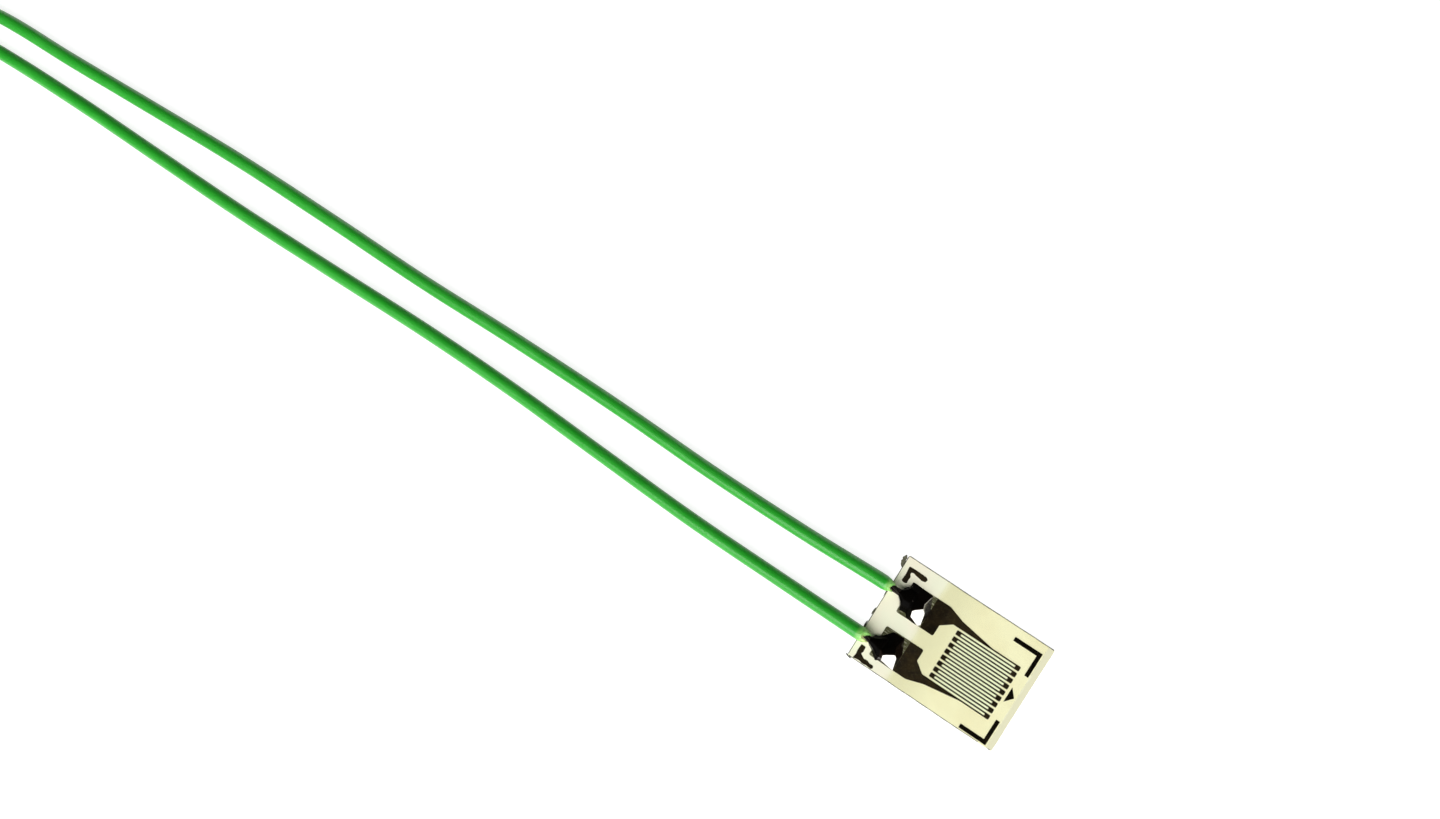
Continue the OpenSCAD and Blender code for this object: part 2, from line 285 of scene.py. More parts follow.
# Yellow of the tip, kept to the lamp's side: partly a heat mark and partly a painted highlight
SCORCH_AND_HIGHLIGHT_YELLOW = "#D9E39A"
HEATED_GREEN = "#7CC45C"
STREAKS_ROUND = 9
STREAKS_PER_MM = 0.12
MOTTLES_ROUND = 2
MOTTLES_PER_MM = 0.7
TRANSLUCENT_MM = 0.12


def insulation_material(name, heat_reach, heat_core, tip_y, tip_share):
    """Insulation that is paler up to heat_reach from its end, and yellow up to heat_core on the
    lamp's side, partly a painted highlight.
    """
    material, tree = new_material(name)
    uv = add_node(tree, "UVMap", uv_map="lead").outputs[0]
    from_end = split(tree, uv)["Y"]
    # Long narrow streaks: many round the lead, one every few millimetres along it
    streaks = noise_share(tree, None, 3, 0.6,
                          stretched(tree, uv, (STREAKS_ROUND, STREAKS_PER_MM, 1)))
    mottle = noise_share(tree, None, 4, 0.5,
                         stretched(tree, uv, (MOTTLES_ROUND, MOTTLES_PER_MM, 1)))
    deep = blend_colours(tree, streaks, INSULATION_GREEN, INSULATION_DEEP)
    light_share = ramp(tree, mottle, 0.45, 0.75, 0, 0.5, smooth=False)
    green = blend_colours(tree, light_share, deep, INSULATION_LIGHT)
    # The heated end: paler green further in, and yellow at the very tip on the lamp's side, partly
    # a heat mark and partly a painted highlight
    warmed = ramp(tree, from_end, heat_core, heat_reach, 1, 0)
    scorch_and_highlight = ramp(tree, from_end, 0, heat_core, tip_share, 0)
    y = split(tree, coordinates(tree))["Y"]
    # The yellow is kept to the side that the lamp lights, where it is partly a painted highlight
    lit_side_share = ramp(tree, y, (tip_y - 0.12) * MM, (tip_y + 0.1) * MM, 1, 0.15)
    scorch_and_highlight = maths(tree, "MULTIPLY", scorch_and_highlight, lit_side_share)
    green = blend_colours(tree, warmed, green, HEATED_GREEN)
    green = blend_colours(tree, scorch_and_highlight, green, SCORCH_AND_HIGHLIGHT_YELLOW)
    surface(tree, {
        "Base Color": green, "Roughness": rough(tree, streaks, 0.29, 0.35),
        "Normal": bumps(tree, streaks, 0.07, 0.006), "IOR": 1.56, "Specular IOR Level": 0.5,
        "Subsurface Weight": 0.15, "Subsurface Radius": (0.15, 1.0, 0.25),
        "Subsurface Scale": TRANSLUCENT_MM * MM})
    return material


INSULATION = {
    1: insulation_material("extruded_green_insulation_1", heat_reach=0.42, heat_core=0.16,
                           tip_y=0.99, tip_share=0.3),
    2: insulation_material("extruded_green_insulation_2", heat_reach=0.62, heat_core=0.4,
                           tip_y=-1.39, tip_share=0.85)}

# %% [markdown]
# ## The leads
#
# Each lead is one insulated wire, 150 mm long: 51 mm of it lie in the picture, and the rest is
# folded up with the other lead in one small hank. The points of the routes are the same as in the
# solid model. A smooth curve through them gives the middle line, and a tube is swept along it.
# A curve object with a bevel would do too, but a mesh tube can have its end softened and drawn
# in as the heat of soldering left it, and a UV map in real millimetres.

# %% Routes of the leads, in millimetres
LEAD_D = 0.65
CORE_D = 0.30
RUN_LEN = 10.0
FOLD_R = 2.3
TURN_PITCH = 0.68
HANK_TURNS = 2
ROW_LOW = 0.405
ROW_HIGH = ROW_LOW + HANK_TURNS * TURN_PITCH
RUN_Y = -1.39
HANK_Y = RUN_Y + FOLD_R
NEAR_X = -62.0
FAR_X = NEAR_X - RUN_LEN
HANK_SIDES = (RUN_Y + TURN_PITCH / 2, RUN_Y - TURN_PITCH / 2)
LYING_Z = 0.33
RAISED_Z = 0.38
TAIL_Z = 0.335


def lying(*points):
    """Points of a lead where it lies on the board."""
    return [(x, y, LYING_Z) for x, y in points]


ROUTES = {
    1: [(-3.45, 0.99, RAISED_Z), (-4.2, 0.99, RAISED_Z)]
    + lying((-8, 0.87), (-13, 0.84), (-18.5, 0.95), (-24, 0.94), (-29.5, 0.84), (-35, 0.87),
            (-40.5, 0.84), (-46, 0.64), (-51, 0.43), (-55.5, 0.28))
    + [(-57.6, -0.16, 0.36), (-59.8, -0.77, ROW_LOW), (NEAR_X + 0.8, HANK_SIDES[0], ROW_LOW)],
    2: [(-3.2, -1.39, RAISED_Z), (-4.2, -1.39, RAISED_Z)]
    + lying((-8, -1.39), (-12.5, -1.37), (-18, -1.18), (-23, -0.99), (-28, -0.95), (-33.5, -1.05),
            (-39, -1.13), (-44.5, -1.1), (-49.5, -1.06), (-54.5, -1.16))
    + [(-57.4, -1.4, 0.36), (-59.8, -1.64, ROW_LOW), (NEAR_X + 0.8, HANK_SIDES[1], ROW_LOW)],
}
TAIL_ROUTES = {
    1: [(FAR_X - 2.7, HANK_SIDES[0], ROW_HIGH), (FAR_X - 3.8, HANK_SIDES[0], 1.5),
        (FAR_X - 4.9, -0.92, 0.92), (FAR_X - 6, -0.63, 0.43), (FAR_X - 7.3, -0.35, TAIL_Z),
        (FAR_X - 8.3, -0.35, TAIL_Z)],
    2: [(FAR_X - 2.7, HANK_SIDES[1], ROW_HIGH), (FAR_X - 3.8, HANK_SIDES[1], 1.5),
        (FAR_X - 4.9, -1.74, 0.9), (FAR_X - 5.8, -1.8, 0.45), (FAR_X - 6.5, -1.84, TAIL_Z),
        (FAR_X - 7.2, -1.84, TAIL_Z)],
}

# %% [markdown]
# The hank is a long flat loop. Both leads run round it side by side, as a pair, for two turns
# and one run more, and each turn lies on the one before. Where the pair climbs to the next row,
# its two leads change sides by half a twist, once in the near fold and once on the far run. So
# each lead has as many outer folds as inner ones, and both end up equally long. All steps are
# smooth shares of the way, so that the leads never touch.

# %% Middle lines of the leads
FOLD_LEN = math.pi * FOLD_R
TURN_LEN = 2 * (RUN_LEN + FOLD_LEN)
HANK_LEN = HANK_TURNS * TURN_LEN + RUN_LEN
FIRST_CLIMB = (2 * RUN_LEN + FOLD_LEN - 1.0, TURN_LEN - math.radians(50) * FOLD_R)
SECOND_CLIMB = (TURN_LEN + 2 * RUN_LEN + FOLD_LEN - 5.0, TURN_LEN + 2 * RUN_LEN + FOLD_LEN - 0.4)
HUMP = 0.05
LINE_STEP = 0.25


def smooth_share(t):
    t = min(max(t, 0.0), 1.0)
    return t * t * (3 - 2 * t)


def loop_place(way):
    """Point of the loop's middle line after so much way, and the direction out of the loop."""
    way = way % TURN_LEN if way < HANK_TURNS * TURN_LEN else way - HANK_TURNS * TURN_LEN
    if way < RUN_LEN:
        return Vector((NEAR_X - way, RUN_Y)), Vector((0, -1))
    if way < RUN_LEN + FOLD_LEN:
        out = Matrix.Rotation(-(way - RUN_LEN) / FOLD_R, 2) @ Vector((0, -1))
        return Vector((FAR_X, HANK_Y)) + FOLD_R * out, out
    if way < 2 * RUN_LEN + FOLD_LEN:
        return Vector((FAR_X + way - RUN_LEN - FOLD_LEN, HANK_Y + FOLD_R)), Vector((0, 1))
    out = Matrix.Rotation(-(way - 2 * RUN_LEN - FOLD_LEN) / FOLD_R, 2) @ Vector((0, 1))
    return Vector((NEAR_X, HANK_Y)) + FOLD_R * out, out


def hank_point(way, side):
    """Point of one lead in the hank. Side is -1 for lead 1 and 1 for lead 2."""
    place, out = loop_place(way)
    first = (way - FIRST_CLIMB[0]) / (FIRST_CLIMB[1] - FIRST_CLIMB[0])
    second = (way - SECOND_CLIMB[0]) / (SECOND_CLIMB[1] - SECOND_CLIMB[0])
    climbed = smooth_share((first - 0.1) / 0.8) + smooth_share(second)
    hump = HUMP * (smooth_share((way - SECOND_CLIMB[1]) / 2)
                   - smooth_share((way - HANK_TURNS * TURN_LEN) / 1.5))
    half = side * TURN_PITCH / 2
    out_by = half * math.cos(math.pi * climbed)
    height = ROW_LOW + TURN_PITCH * climbed + hump + half * abs(math.sin(math.pi * climbed))
    return Vector((place.x + out_by * out.x, place.y + out_by * out.y, height))


def heading(route, i):
    """Direction of a route at one of its points."""
    before, after = route[max(i - 1, 0)], route[min(i + 1, len(route) - 1)]
    return (after - before) / ((route[i] - before).length + (after - route[i]).length)


def smooth_line(route):
    """Points of a smooth curve through a route, about one step apart."""
    line = []
    for i in range(len(route) - 1):
        p, q = route[i], route[i + 1]
        stretch = (q - p).length
        u, v = stretch * heading(route, i), stretch * heading(route, i + 1)
        count = max(1, math.ceil(stretch / LINE_STEP))
        for k in range(count):
            t = k / count
            line.append((2 * t**3 - 3 * t**2 + 1) * p + (t**3 - 2 * t**2 + t) * u
                        + (3 * t**2 - 2 * t**3) * q + (t**3 - t**2) * v)
    return line + [route[-1]]


def lead_line(number):
    """Whole middle line of lead 1 or 2, from its end at the gauge to the end of its tail."""
    side = -1 if number == 1 else 1
    steps = round(HANK_LEN / LINE_STEP)
    hank = [hank_point(i / steps * HANK_LEN, side) for i in range(steps + 1)]
    before = [Vector(p) for p in ROUTES[number]] + [hank[0]]
    after = [hank[-1]] + [Vector(p) for p in TAIL_ROUTES[number]]
    return smooth_line(before)[:-1] + hank + smooth_line(after)[1:]


def ways(line):
    """Distance of each point of a line from its start, along the line."""
    return list(accumulate([0.0] + [(b - a).length for a, b in zip(line, line[1:])]))


LINES = {number: lead_line(number) for number in ROUTES}
for number, line in LINES.items():
    print(f"lead {number}: insulation {ways(line)[-1]:.1f} mm long, {len(line)} points")

# %% [markdown]
# The tube is swept with rings of points. Where the iron was near, the insulation has shrunk on
# to the conductor, so the first rings are smaller, and the last ring is drawn back on top, where
# the conductor lies bare. Extra rings there give the shrunk end its shape. Drawn insulation is
# never quite even, so the radius changes by a percent or so along the way.

# %% Shape of the ends
EVENNESS = 0.014
SHRUNK_LEN = 0.35


def profile(stops):
    """A smooth height from a few (distance, value) stops."""
    def value(s):
        for (a, u), (b, v) in zip(stops, stops[1:]):
            if s <= b:
                return u + (v - u) * smooth_share((s - a) / (b - a))
        return stops[-1][1]
    return value


# Radius of the insulation as a share of its full radius, from its end at the gauge inwards
NECKS = {1: profile([(0, 0.54), (0.1, 0.66), (0.32, 0.93), (0.5, 1)]),
         2: profile([(0, 0.56), (0.08, 0.72), (0.25, 0.92), (0.4, 1)])}
# How far the end is drawn back on top, in millimetres
DRAWN_BACK = {1: 0.17, 2: 0.3}


def radius_at(number, s, angle):
    """Radius of a lead at this distance from its end, in this direction from its middle line."""
    wander = noise.noise(Vector((s * 0.4, 10 * number, math.cos(angle) * 0.3)))
    return LEAD_D / 2 * NECKS[number](s) * (1 + EVENNESS * wander)


def shift_at(number, s, angle):
    """How far a point of the end is drawn back along the lead."""
    back = max(0.0, math.sin(angle)) ** 2 * DRAWN_BACK[number]
    return back * max(0.0, 1 - s / SHRUNK_LEN) ** 1.5


# %% Sweeping a lead
TUBE_SIDES = 20
END_RINGS_MM = (0.0, 0.03, 0.06, 0.1, 0.14, 0.19, 0.25, 0.32, 0.4, 0.5)
RING_GAP = 0.1


def along(line, distance):
    """Point on a line at a distance from its start."""
    for a, b in zip(line, line[1:]):
        gap = (b - a).length
        if distance <= gap:
            return a.lerp(b, distance / gap)
        distance -= gap
    return line[-1]


def swept_tube(number, line):
    """Mesh tube along a line. Its UV map has turns round it and millimetres along it."""
    centres = [along(line, s) for s in END_RINGS_MM]
    centres += [p for p, s in zip(line, ways(line)) if s > END_RINGS_MM[-1] + RING_GAP]
    distances, places = ways(centres), []
    for i, (centre, s) in enumerate(zip(centres, distances)):
        ahead = heading(centres, i).normalized()
        side = ahead.cross(Vector((0, 0, 1))).normalized()
        up = side.cross(ahead)
        for k in range(TUBE_SIDES):
            angle = 2 * math.pi * k / TUBE_SIDES
            out = radius_at(number, s, angle) * (math.cos(angle) * side + math.sin(angle) * up)
            places.append(centre + out + ahead * shift_at(number, s, angle))
    faces, last = [], len(centres) - 1
    for i in range(last):
        for k in range(TUBE_SIDES):
            j = (k + 1) % TUBE_SIDES
            faces.append((i * TUBE_SIDES + k, i * TUBE_SIDES + j,
                          (i + 1) * TUBE_SIDES + j, (i + 1) * TUBE_SIDES + k))
    faces.append(tuple(range(TUBE_SIDES - 1, -1, -1)))
    faces.append(tuple(last * TUBE_SIDES + k for k in range(TUBE_SIDES)))
    piece = new_piece("lead", [tuple(p) for p in places], (), faces)
    uv = piece.data.uv_layers.new(name="lead")
    for face in piece.data.polygons:
        rounds = [(v % TUBE_SIDES) / TUBE_SIDES for v in face.vertices]
        wraps = max(rounds) - min(rounds) > 0.5 and len(rounds) == 4
        for loop, vertex, turn in zip(face.loop_indices, face.vertices, rounds):
            turn = turn + 1 if wraps and turn < 0.5 else turn
            uv.data[loop].uv = (turn, distances[vertex // TUBE_SIDES])
    edit_all(piece)
    leave_outwards()
    shade_smooth(50)
    return piece, centres


for number, line in LINES.items():
    tube, centres = swept_tube(number, line)
    finish_piece(tube, f"lead_{number}", [INSULATION[number]],
                 [f"lead_{number}_insulation", f"lead_{number}_tail", "lead_hank"])

# %% [markdown]
# ## Finish: tinned strands
#
# The conductor is copper that was drawn thin, dipped in tin and twisted. Tin makes it a grey,
# slightly rough mirror with dull spots of oxide.

# %% Tinned copper material
TIN_GREY = "#A9A79F"
TIN_DULL = "#7D7970"
# Nearly black greys for the strands at the joints
JOINT_STRAND_GREY = "#3A3530"
JOINT_STRAND_DARK = "#1C1916"
OXIDE_SPOT_MM = 0.08


def tinned_material(name, bright, dull, low_roughness, high_roughness):
    material, tree = new_material(name)
    spots = noise_share(tree, OXIDE_SPOT_MM, 4, 0.65)
    surface(tree, {
        "Base Color": blend_colours(tree, spots, bright, dull), "Metallic": 1.0,
        "Roughness": ramp(tree, spots, 0.3, 0.7, low_roughness, high_roughness, smooth=False),
        "Normal": bumps(tree, spots, 0.3, 0.002)})
    return material


tinned_copper = tinned_material("tinned_copper_strands", TIN_GREY, TIN_DULL, 0.28, 0.45)
# The strands at the joints get a nearly black grey and a rougher finish
joint_strands = tinned_material("nearly_black_joint_strands", JOINT_STRAND_GREY, JOINT_STRAND_DARK, 0.35, 0.55)

# %% [markdown]
# ## The conductors
#
# Each lead has seven strands of 0.1 mm: one in the middle and six twisted round it. One strand
# starts as a small circle beside the axis. A Screw modifier drags it round and along, which is
# just how the twist is made. Six copies turned by a sixth and one straight strand make the wire.
# The same wire is used four times: at both solder joints and at both bare ends.

# %% Modelling a twisted wire
STRAND_D = 0.1
TWIST_LEN = 2.6
STRAND_SIDES = 14
STEPS_A_TURN = 24


def strand(length, beside_axis):
    """One strand along X from the origin, twisted round the axis if it lies beside it."""
    bpy.ops.mesh.primitive_circle_add(vertices=STRAND_SIDES, radius=STRAND_D / 2,
                                      location=(0, beside_axis, 0),
                                      rotation=(0, math.radians(90), 0))
    piece = bpy.context.object
    bpy.ops.object.transform_apply()
    turns = length / TWIST_LEN if beside_axis else 0
    steps = max(2, round(STEPS_A_TURN * turns))
    apply_modifier(piece, "SCREW", axis="X", angle=2 * math.pi * turns, screw_offset=length,
                   steps=steps, render_steps=steps, use_smooth_shade=True)
    edit_all(piece)
    bpy.ops.mesh.select_all(action="DESELECT")
    bpy.ops.mesh.select_non_manifold()
    bpy.ops.mesh.fill_holes(sides=STRAND_SIDES)
    leave_outwards()
    return piece


def twisted_wire(start, end):
    """Seven strands from one point to another."""
    start, end = Vector(start), Vector(end)
    length = (end - start).length
    strands = [strand(length, 0)]
    for k in range(6):
        piece = strand(length, STRAND_D)
        piece.rotation_euler = (k * math.pi / 3, 0, 0)
        strands.append(piece)
    wire = take(strands[0])
    for piece in strands:
        piece.select_set(True)
    bpy.ops.object.transform_apply()
    bpy.ops.object.join()
    towards = (end - start).to_track_quat("X", "Z").to_matrix().to_4x4()
    wire.data.transform(Matrix.Translation(start) @ towards)
    take(wire)
    shade_smooth(60)
    return wire


# %% Conductors and bare ends
CORE_TIP_Z = 0.22
CORE_TIP_X = -2.21
CORE_LIFT = 0.01
HIDDEN_IN_LEAD = 0.5
BARE_LEN = 4.0
ON_LEAD = {}
for number in ROUTES:
    x, y, z = ROUTES[number][0]
    wire = twisted_wire((x - HIDDEN_IN_LEAD, y, z + CORE_LIFT), (CORE_TIP_X, y, CORE_TIP_Z))
    ON_LEAD[number] = [finish_piece(wire, f"conductor_{number}", [joint_strands],
                                    [f"lead_{number}_core"])]

for number in ROUTES:
    x, y, z = TAIL_ROUTES[number][-1]
    wire = twisted_wire((x + HIDDEN_IN_LEAD, y, z), (x - BARE_LEN, y, z))
    ON_LEAD[number].append(finish_piece(wire, f"bare_end_{number}", [tinned_copper],
                                        [f"lead_{number}_tinned_end"]))

# %% [markdown]
# ## Finish: paper tape, and the tie round the hank
#
# The spare length is held by one wrap of thin paper tape round both runs of the hank. The tape's
# line across the runs is drawn as a few straight stretches and round corners, and extruded for
# the tape's width. Solidify gives it thickness. The tape's end lies on its own start, so the
# line overlaps itself by a few millimetres on top.

# %% Paper tape material
TAPE_WHITE = "#ECE8DC"
TAPE_SHADE = "#D8D2C0"
PAPER_FIBRE_MM = 0.12

tape_paper, tree = new_material("off_white_paper_tape")
fibres = noise_share(tree, PAPER_FIBRE_MM, 6, 0.7,
                     stretched(tree, coordinates(tree), (1, 1, 0.35)))
surface(tree, {
    "Base Color": blend_colours(tree, fibres, TAPE_WHITE, TAPE_SHADE), "Roughness": 0.8,
    "Normal": bumps(tree, fibres, 0.5, 0.008)})

# %% Modelling the tie
TAPE_T = 0.055
TAPE_W = 2.4
TAPE_GAP = 0.004
OVERLAP_GAP = 0.003
TAPE_FROM_FOLD = 1.6


def arc_round(centre, radius, first, last, steps=8):
    """Points of an arc in the plane across the hank, with angles in degrees from +Y."""
    turns = [math.radians(first + (last - first) * k / steps) for k in range(steps + 1)]
    return [(centre[0] + radius * math.cos(a), centre[1] + radius * math.sin(a)) for a in turns]


def tape_line():
    """The tape's inner line across the hank, as (Y, Z) points, once round and a bit further."""
    inner, outer = HANK_SIDES
    far, far_top = HANK_Y + FOLD_R + TURN_PITCH / 2, ROW_LOW + TURN_PITCH
    slope = math.degrees(math.atan2(far_top - ROW_HIGH, far - inner))
    reach = LEAD_D / 2 + TAPE_GAP
    over = reach + TAPE_T + OVERLAP_GAP
    return (arc_round((inner, ROW_HIGH), reach, 90 + slope, 90, 3)[::-1]
            + arc_round((outer, ROW_HIGH), reach, 90, 180)
            + arc_round((outer, ROW_LOW), reach, 180, 270)
            + arc_round((far, ROW_LOW), reach, 270, 360)
            + arc_round((far, far_top), reach, 0, 90 + slope)
            + arc_round((inner, ROW_HIGH), over, 90 + slope, 90, 3)
            + arc_round((outer, ROW_HIGH), over, 90, 165, 7))


line = tape_line()
tape = new_piece("tape", [(FAR_X + TAPE_FROM_FOLD, y, z) for y, z in line],
                 [(i, i + 1) for i in range(len(line) - 1)])
edit_all(tape)
bpy.ops.mesh.extrude_edges_move(TRANSFORM_OT_translate={"value": (TAPE_W, 0, 0)})
leave_outwards()
apply_modifier(tape, "SOLIDIFY", thickness=TAPE_T, offset=1)
shade_smooth(40)
ON_LEAD[1].append(finish_piece(tape, "tape_tie", [tape_paper], ["hank_tie"]))

# %% [markdown]
# ON_LEAD lists the pieces that sit on each of the two leads.

# %% [markdown]
# ## Finish: cast polyimide film
#
# The carrier is a thin cream film. Cast film is smooth and satin, with faint clouds in its depth.
# Under the cover film and its glue it looks yellower, and that change has no sharp edge. The
# cut edge gets an olive grey of its own, painted shade for the dark line along the film's edge.

# %% Carrier film materials
CREAM_PALE = "#F4F2DA"
CREAM_GREEN = "#ECF1D3"
CREAM_PINK = "#F5ECD3"
CREAM_GLUED = "#F5F3CD"
CREAM_GLUED_DEEP = "#F0ECC4"
CREAM_END = "#E4E2C0"
CREAM_START = "#E3E1BB"
# Painted light: the pale cream between the grid's lines offsets the shade of the foil lines
PAINTED_LIGHT_GRID_CREAM = "#F0F7D4"
CLOUD_MM = 1.6
GRAIN_MM = 0.05
GLUE_FROM_X = -1.95
GLUE_FULL_X = -1.45
THICK_GLUE_FROM_X = -1.3
THICK_GLUE_UNTIL_X = 0.8
GLUE_END_X = 3.43
GRID_MIDDLE = (1.33, -0.17)
GRID_HALF = (1.42, 1.34)
GRID_SOFT = 0.2
WAVE = 0.4

carrier_film, tree = new_material("cast_polyimide_carrier")
axes = split(tree, coordinates(tree))
clouds = noise_share(tree, CLOUD_MM, 3, 0.45)
grain = noise_share(tree, GRAIN_MM, 2)
cloud_share = ramp(tree, clouds, 0.35, 0.65)
pale = blend_colours(tree, cloud_share, CREAM_GREEN, CREAM_PINK)
pale = blend_colours(tree, 0.45, pale, CREAM_PALE)
glued = blend_colours(tree, cloud_share, CREAM_GLUED, CREAM_GLUED_DEEP)
# The glue starts along a wavy line and ends with the cover film
wavy_x = maths(tree, "MULTIPLY_ADD", clouds, 2 * WAVE * MM, axes["X"])
glue_start = ramp(tree, wavy_x, (GLUE_FROM_X + WAVE) * MM, (GLUE_FULL_X + WAVE) * MM)
glue_end = ramp(tree, axes["X"], (GLUE_END_X - 0.03) * MM, (GLUE_END_X + 0.02) * MM, 1, 0)
end_share = ramp(tree, wavy_x, (GLUE_END_X - 0.1 + WAVE) * MM, (GLUE_END_X + WAVE) * MM)
pale = blend_colours(tree, end_share, pale, CREAM_END)
# Between the grid's lines the film is painted palest: painted light that offsets the shade and the
# dark bounce light of the foil lines
painted_light_grid = []
for axis, middle, half in zip("XY", GRID_MIDDLE, GRID_HALF):
    offset = maths(tree, "ABSOLUTE", maths(tree, "SUBTRACT", axes[axis], middle * MM))
    painted_light_grid.append(ramp(tree, offset, (half - GRID_SOFT) * MM, half * MM, 1, 0))
glued = blend_colours(tree, maths(tree, "MULTIPLY", *painted_light_grid), glued, PAINTED_LIGHT_GRID_CREAM)
# The glue is thickest, and the film deepest in colour, where the cover film starts
thick_glue = ramp(tree, axes["X"], THICK_GLUE_FROM_X * MM, THICK_GLUE_UNTIL_X * MM, 1, 0)
glued = blend_colours(tree, thick_glue, glued, CREAM_START)
cream = blend_colours(tree, maths(tree, "MULTIPLY", glue_start, glue_end), pale, glued)
surface(tree, {
    "Base Color": cream, "Roughness": rough(tree, grain, 0.36, 0.52),
    "Normal": bumps(tree, grain, 0.2, 0.0012), "IOR": 1.6, "Specular IOR Level": 0.35})

# Painted shade: these olive greys stand in for the shade on the film's cut edge and lip
EDGE_SHADE_OLIVE = "#3C3C2C"
EDGE_SHADE_PALE = "#84836B"
EDGE_SHADE_PATCH_MM = 0.5
shaded_cut_edge, tree = new_material("painted_shade_film_edge")
edge_shade = ramp(tree, noise_share(tree, EDGE_SHADE_PATCH_MM, 3, 0.6), 0.38, 0.6)
surface(tree, {
    "Base Color": blend_colours(tree, edge_shade, EDGE_SHADE_OLIVE, EDGE_SHADE_PALE), "Roughness": 0.7})

# %% [markdown]
# ## The carrier film
#
# The film is cut from a sheet, so its outline has the small waver of a blade. A plane gets
# rounded corners, its border is divided finely and moved by a few hundredths of a millimetre,
# and the face is pulled up into a sheet. An inset along the top makes the narrow lip that the
# blade leaves, which takes the painted edge shade everywhere but at the far end.

# %% Modelling the carrier film
CARRIER_LEN = 7.44
CARRIER_W = 5.04
CARRIER_T = 0.0485
CORNER_R = 0.08
LIP_W = 0.035
BLADE_WAVER = 0.012
WAVERS_PER_MM = 1.3
EDGE_POINTS = 70

bpy.ops.mesh.primitive_plane_add(size=1)
film = bpy.context.object
film.scale = (CARRIER_LEN, CARRIER_W, 1)
bpy.ops.object.transform_apply()
edit_all(film)
bpy.ops.mesh.bevel(offset=CORNER_R, segments=5, affect="VERTICES")
bpy.ops.mesh.select_mode(type="EDGE")
bpy.ops.mesh.select_all(action="DESELECT")
bpy.ops.object.mode_set(mode="OBJECT")
for edge in film.data.edges:
    a, b = (film.data.vertices[v].co for v in edge.vertices)
    edge.select = (a - b).length > 1
bpy.ops.object.mode_set(mode="EDIT")
bpy.ops.mesh.subdivide(number_cuts=EDGE_POINTS)
bpy.ops.object.mode_set(mode="OBJECT")
for vertex in film.data.vertices:
    x, y, _ = vertex.co
    waver = BLADE_WAVER * noise.noise(Vector((x * WAVERS_PER_MM, y * WAVERS_PER_MM, 4)))
    inward = Vector((-x / (CARRIER_LEN / 2), -y / (CARRIER_W / 2), 0))
    keep = Vector((abs(inward.x) ** 8 * inward.x, abs(inward.y) ** 8 * inward.y, 0))
    vertex.co += keep * (BLADE_WAVER + waver)
edit_all(film)
bpy.ops.mesh.inset(thickness=LIP_W)
bpy.ops.mesh.select_all(action="SELECT")
bpy.ops.mesh.extrude_region_move(TRANSFORM_OT_translate={"value": (0, 0, CARRIER_T)})
leave_outwards()
# The lip and the side walls take the painted edge shade, except at the far end
for face in film.data.polygons:
    c = face.center
    on_rim = abs(c.y) > CARRIER_W / 2 - LIP_W or c.x < -CARRIER_LEN / 2 + LIP_W
    face.material_index = 1 if on_rim and c.x < CARRIER_LEN / 2 - LIP_W else 0
finish_piece(film, "cut_carrier_film", [carrier_film, shaded_cut_edge],
             ["carrier_film"])

# %% [markdown]
# ## Finish: the clear cover film
#
# The cover film is thin and clear, so the foil shows through it. It adds a soft shine, which
# grows towards grazing views. A mix of a see-through shader and a glossy one, by the angle at
# which the film is seen, does it.

# %% Cover film material
COVER_TINT = "#FFFFFD"
SCUFF_MM = 0.25
GRAZING_GLOSS = 0.5
FACING_GLOSS = 0.005
cover_clear, tree = new_material("clear_polyimide_cover")
facing = add_node(tree, "LayerWeight", {"Blend": 0.5}).outputs["Facing"]
gloss_share = maths(tree, "MULTIPLY_ADD", maths(tree, "POWER", facing, 4), GRAZING_GLOSS,
                    FACING_GLOSS)
through = add_node(tree, "BsdfTransparent", {"Color": linear(COVER_TINT)}).outputs[0]
shine = principled(tree, {
    "Base Color": WHITE, "Metallic": 1.0,
    "Roughness": rough(tree, noise_share(tree, SCUFF_MM, 5), 0.16, 0.4)})
surface(tree, add_node(tree, "MixShader", {0: gloss_share, 1: through, 2: shine}).outputs[0])

# %% [markdown]
# ## Finish: etched foil
#
# The grid and the marks are a copper and nickel alloy, rolled to a few thousandths of a
# millimetre and etched. Below the film it is painted a matt brown black with slow changes of
# tone, a painted dark reflection of the dark room that the metal mirrors. Where it is bare beside
# the solder it is greener, with streaks left by the brush.

# %% Etched foil material
# Colours of the painted dark reflection that the foil gets below the film
FOIL_REFLECTION_DARK = "#181004"
FOIL_REFLECTION_BROWN = "#2C210A"
FOIL_REFLECTION_OLIVE = "#3A351C"
FOIL_BARE = "#56573A"
FOIL_STREAK = "#AAA88E"
TONE_MM = 0.45
SPECKLE_MM = 0.09
STREAK_LEN = 0.4
STREAK_W = 0.05
STREAK_DEGREES = 40
BARE_TO_X = -1.66


